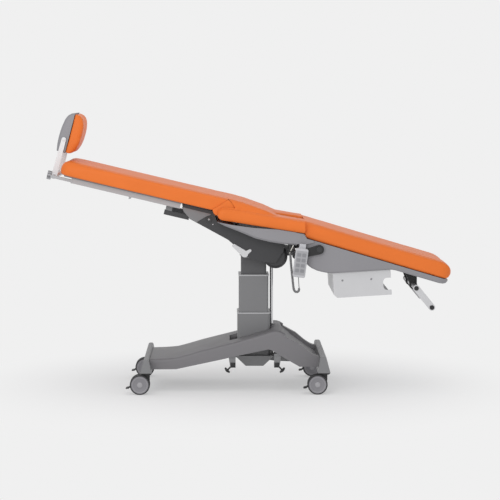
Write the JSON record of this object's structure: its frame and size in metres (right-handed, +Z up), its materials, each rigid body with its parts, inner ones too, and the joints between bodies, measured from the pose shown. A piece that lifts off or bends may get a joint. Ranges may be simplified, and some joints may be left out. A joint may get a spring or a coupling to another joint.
{
  "type": "electric therapy table",
  "caption": "Treatment table with a telescopic lift column on a saddle-shaped castor base, orange pads, a raised headrest, a lowered leg section and a hanging handset",
  "frame": {"origin": "bottom centre of the whole table's bounding box, on the floor under the castors", "axes": "+X runs along the table to the foot end, -Y faces the viewer and the handset side, +Z is up"},
  "size_m": [2.0194, 0.6625, 1.3917],
  "materials": {
    "frame_paint": "satin powder coat on welded steel",
    "moulded_cover": "fine-grained moulded cover",
    "column_paint": "satin powder coat on steel tube",
    "bright_collar": "glide collar",
    "bright_rod": "ground and chromed bar",
    "dark_metal": "dark coated steel",
    "light_metal": "brushed steel",
    "dark_cover": "dark grained cover",
    "shell_grey": "light grey moulded shell",
    "light_paint": "light powder coat",
    "white_paint": "white powder coat",
    "black_paint": "black powder coat",
    "black_plastic": "black moulded plastic",
    "black_rubber": "black rubber strip",
    "wheel_grey": "grey wheel disc with a dark tread ring",
    "orange_leather": "coated upholstery fabric, smooth as leather, over foam",
    "handset_grey": "pale grey handset shell",
    "key_grey": "light keys",
    "grey_cord": "flexible cord jacket"
  },
  "bodies": {
    "base": {"base_frame": "frame_paint", "base_cover": "moulded_cover", "beam_bumpers": "black_rubber", "switch_bodies": "black_plastic", "column_outer": "column_paint", "collar_outer": "bright_collar", "lift_drive": "dark_metal"},
    "middle_stage": {"column_middle": "column_paint", "collar_middle": "bright_collar"},
    "lift_head": {"column_inner": "column_paint", "head_bracket": "frame_paint", "guide_rod": "bright_rod"},
    "chassis": {"chassis_frame": "frame_paint", "arm_casing": "dark_cover", "tilt_pins": "light_metal", "back_hinge_pin": "dark_metal", "seat_shell": "shell_grey", "seat_pad": "orange_leather", "leg_hinge_arms": "black_paint", "leg_hinge_pins": "dark_metal", "handset": "handset_grey", "cord_lead": "grey_cord", "cord_curl": "grey_cord", "cord_gland": "black_plastic"},
    "back": {"back_frame": "frame_paint", "side_rails": "light_paint", "back_pad": "orange_leather"},
    "headrest_slide": {"headrest_slide": "light_paint"},
    "headrest_arms": {"headrest_arms": "white_paint"},
    "clamp_knob": {"clamp_knob": "black_plastic"},
    "headrest": {"headrest_shell": "shell_grey", "headrest_pad": "orange_leather"},
    "leg": {"leg_shell": "shell_grey", "leg_pad": "orange_leather", "accessory_box": "light_paint", "foot_brackets": "black_plastic"},
    "foot_bar": {"foot_bar": "light_metal", "foot_bar_caps": "black_plastic"},
    "plunger_head_side": {"plunger_head_side": "black_plastic"},
    "plunger_foot_side": {"plunger_foot_side": "black_plastic"},
    "key_1": {"key_1": "key_grey"},
    "key_2": {"key_2": "key_grey"},
    "key_3": {"key_3": "key_grey"},
    "key_4": {"key_4": "key_grey"},
    "key_5": {"key_5": "key_grey"},
    "key_6": {"key_6": "key_grey"},
    "key_7": {"key_7": "key_grey"},
    "key_8": {"key_8": "key_grey"},
    "castor_head_near": {"castor_housing_head_near": "black_plastic"},
    "wheels_head_near": {"castor_wheels_head_near": "wheel_grey"},
    "pedal_head_near": {"castor_pedal_head_near": "black_plastic"},
    "castor_head_far": {"castor_housing_head_far": "black_plastic"},
    "wheels_head_far": {"castor_wheels_head_far": "wheel_grey"},
    "pedal_head_far": {"castor_pedal_head_far": "black_plastic"},
    "castor_foot_near": {"castor_housing_foot_near": "black_plastic"},
    "wheels_foot_near": {"castor_wheels_foot_near": "wheel_grey"},
    "pedal_foot_near": {"castor_pedal_foot_near": "black_plastic"},
    "castor_foot_far": {"castor_housing_foot_far": "black_plastic"},
    "wheels_foot_far": {"castor_wheels_foot_far": "wheel_grey"},
    "pedal_foot_far": {"castor_pedal_foot_far": "black_plastic"}
  },
  "joints": [
    {"name": "lift_middle", "type": "slide", "parent": "base", "child": "middle_stage", "axis": [0, 0, 1], "range_m": [-0.115, 0.015]},
    {"name": "lift_head", "type": "slide", "parent": "middle_stage", "child": "lift_head", "axis": [0, 0, 1], "range_m": [-0.115, 0.015]},
    {"name": "tilt", "type": "hinge", "parent": "lift_head", "child": "chassis", "pos_m": [-0.022, 0, 0.691], "axis": [0, 1, 0], "range_deg": [-20, 4]},
    {"name": "back_hinge", "type": "hinge", "parent": "chassis", "child": "back", "pos_m": [-0.2, 0, 0.864], "axis": [0, 1, 0], "range_deg": [0, 60]},
    {"name": "leg_hinge", "type": "hinge", "parent": "chassis", "child": "leg", "pos_m": [0.347, 0, 0.72], "axis": [0, 1, 0], "range_deg": [0, 45]},
    {"name": "headrest_slide", "type": "slide", "parent": "back", "child": "headrest_slide", "axis": [-0.9732, 0, 0.23], "range_m": [0, 0.12]},
    {"name": "headrest_swing", "type": "hinge", "parent": "headrest_slide", "child": "headrest_arms", "pos_m": [-0.97336, 0, 1.07867], "axis": [0, 1, 0], "range_deg": [-75, 5]},
    {"name": "headrest_pivot", "type": "hinge", "parent": "headrest_arms", "child": "headrest", "pos_m": [-0.923, 0, 1.262], "axis": [0, 1, 0], "range_deg": [-15, 25]},
    {"name": "clamp_turn", "type": "hinge", "parent": "headrest_arms", "child": "clamp_knob", "pos_m": [-0.99671, -0.156, 1.08419], "axis": [-0.9732, 0, 0.23], "range_deg": [0, 180]},
    {"name": "foot_bar_swing", "type": "hinge", "parent": "leg", "child": "foot_bar", "pos_m": [0.832, 0, 0.524], "axis": [0, 1, 0], "range_deg": [-40, 90]},
    {"name": "press_head_side", "type": "slide", "parent": "base", "child": "plunger_head_side", "axis": [0.7071, 0, 0.7071], "range_m": [0, 0.006], "stiffness_N_per_m": 900},
    {"name": "press_foot_side", "type": "slide", "parent": "base", "child": "plunger_foot_side", "axis": [-0.7071, 0, 0.7071], "range_m": [0, 0.006], "stiffness_N_per_m": 900},
    {"name": "press_key_1", "type": "slide", "parent": "chassis", "child": "key_1", "axis": [0, 1, 0], "range_m": [0, 0.0012], "stiffness_N_per_m": 300},
    {"name": "press_key_2", "type": "slide", "parent": "chassis", "child": "key_2", "axis": [0, 1, 0], "range_m": [0, 0.0012], "stiffness_N_per_m": 300},
    {"name": "press_key_3", "type": "slide", "parent": "chassis", "child": "key_3", "axis": [0, 1, 0], "range_m": [0, 0.0012], "stiffness_N_per_m": 300},
    {"name": "press_key_4", "type": "slide", "parent": "chassis", "child": "key_4", "axis": [0, 1, 0], "range_m": [0, 0.0012], "stiffness_N_per_m": 300},
    {"name": "press_key_5", "type": "slide", "parent": "chassis", "child": "key_5", "axis": [0, 1, 0], "range_m": [0, 0.0012], "stiffness_N_per_m": 300},
    {"name": "press_key_6", "type": "slide", "parent": "chassis", "child": "key_6", "axis": [0, 1, 0], "range_m": [0, 0.0012], "stiffness_N_per_m": 300},
    {"name": "press_key_7", "type": "slide", "parent": "chassis", "child": "key_7", "axis": [0, 1, 0], "range_m": [0, 0.0012], "stiffness_N_per_m": 300},
    {"name": "press_key_8", "type": "slide", "parent": "chassis", "child": "key_8", "axis": [0, 1, 0], "range_m": [0, 0.0012], "stiffness_N_per_m": 300},
    {"name": "swivel_head_near", "type": "hinge", "parent": "base", "child": "castor_head_near", "pos_m": [-0.505, -0.3, 0.12], "axis": [0, 0, 1], "continuous": true},
    {"name": "roll_head_near", "type": "hinge", "parent": "castor_head_near", "child": "wheels_head_near", "pos_m": [-0.543, -0.3, 0.05], "axis": [0, 1, 0], "continuous": true},
    {"name": "brake_head_near", "type": "hinge", "parent": "castor_head_near", "child": "pedal_head_near", "pos_m": [-0.573, -0.3, 0.052], "axis": [0, 1, 0], "range_deg": [-12, 0]},
    {"name": "swivel_head_far", "type": "hinge", "parent": "base", "child": "castor_head_far", "pos_m": [-0.505, 0.3, 0.12], "axis": [0, 0, 1], "continuous": true},
    {"name": "roll_head_far", "type": "hinge", "parent": "castor_head_far", "child": "wheels_head_far", "pos_m": [-0.543, 0.3, 0.05], "axis": [0, 1, 0], "continuous": true},
    {"name": "brake_head_far", "type": "hinge", "parent": "castor_head_far", "child": "pedal_head_far", "pos_m": [-0.573, 0.3, 0.052], "axis": [0, 1, 0], "range_deg": [-12, 0]},
    {"name": "swivel_foot_near", "type": "hinge", "parent": "base", "child": "castor_foot_near", "pos_m": [0.377, -0.3, 0.12], "axis": [0, 0, 1], "continuous": true},
    {"name": "roll_foot_near", "type": "hinge", "parent": "castor_foot_near", "child": "wheels_foot_near", "pos_m": [0.339, -0.3, 0.05], "axis": [0, 1, 0], "continuous": true},
    {"name": "brake_foot_near", "type": "hinge", "parent": "castor_foot_near", "child": "pedal_foot_near", "pos_m": [0.309, -0.3, 0.052], "axis": [0, 1, 0], "range_deg": [-12, 0]},
    {"name": "swivel_foot_far", "type": "hinge", "parent": "base", "child": "castor_foot_far", "pos_m": [0.377, 0.3, 0.12], "axis": [0, 0, 1], "continuous": true},
    {"name": "roll_foot_far", "type": "hinge", "parent": "castor_foot_far", "child": "wheels_foot_far", "pos_m": [0.339, 0.3, 0.05], "axis": [0, 1, 0], "continuous": true},
    {"name": "brake_foot_far", "type": "hinge", "parent": "castor_foot_far", "child": "pedal_foot_far", "pos_m": [0.309, 0.3, 0.052], "axis": [0, 1, 0], "range_deg": [-12, 0]}
  ],
  "couplings": [
    {"joint": "lift_head", "follows": "lift_middle", "ratio": 1}
  ]
}
